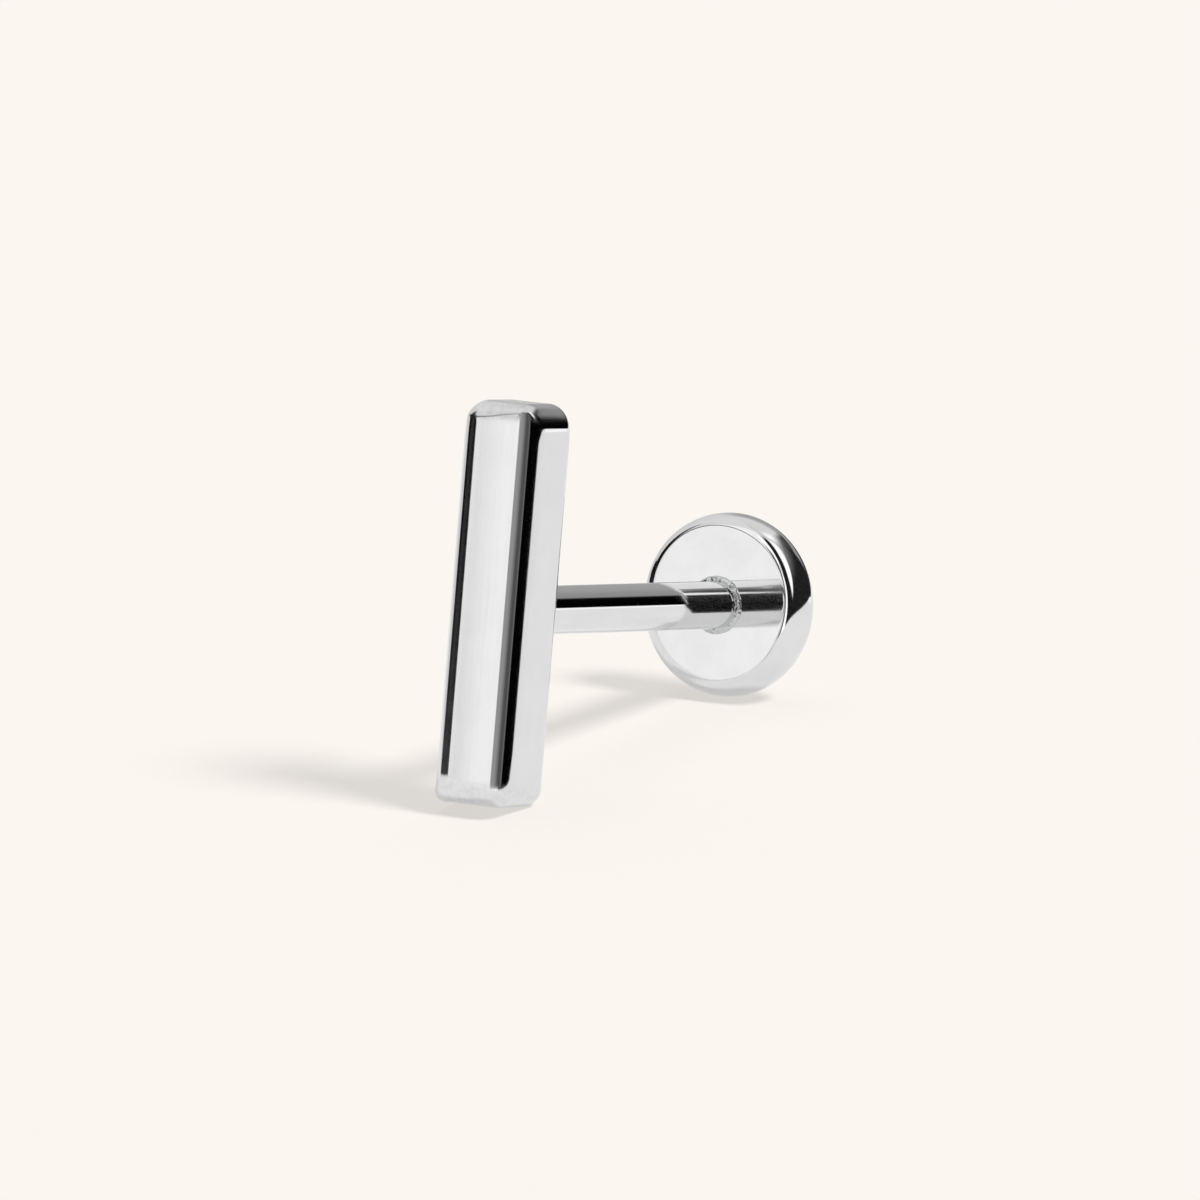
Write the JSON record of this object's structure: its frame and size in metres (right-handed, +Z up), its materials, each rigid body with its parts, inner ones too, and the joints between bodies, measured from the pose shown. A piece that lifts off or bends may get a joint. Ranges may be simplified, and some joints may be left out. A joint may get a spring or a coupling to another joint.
{
  "type": "bar stud earring",
  "caption": "Flat-back stud earring: a straight, round-edged square bar whose pin plugs into a hollow post, with a thick round-rimmed disc behind the ear.",
  "frame": {"origin": "on the table under the middle of the outline of the lying earring", "axes": "+Z up from the table; +X from the bar to the disc, level; Y across the bar; the post slopes 12.6 degrees down towards the disc"},
  "size_m": [0.0122, 0.004, 0.0086],
  "materials": {
    "bar_metal": "mirror-polished white metal with faint hand-polishing lines",
    "pin_metal": "turned white metal, satin",
    "back_metal": "mirror-polished white metal, with a grainy solder bead at the post's root"
  },
  "bodies": {
    "back": {"flat_back": "back_metal"},
    "front": {"bar": "bar_metal", "pin": "pin_metal"}
  },
  "joints": [
    {"name": "front_pull", "type": "slide", "parent": "back", "child": "front", "axis": [-0.9759, 0, 0.2181], "range_m": [0, 0.0055]}
  ]
}
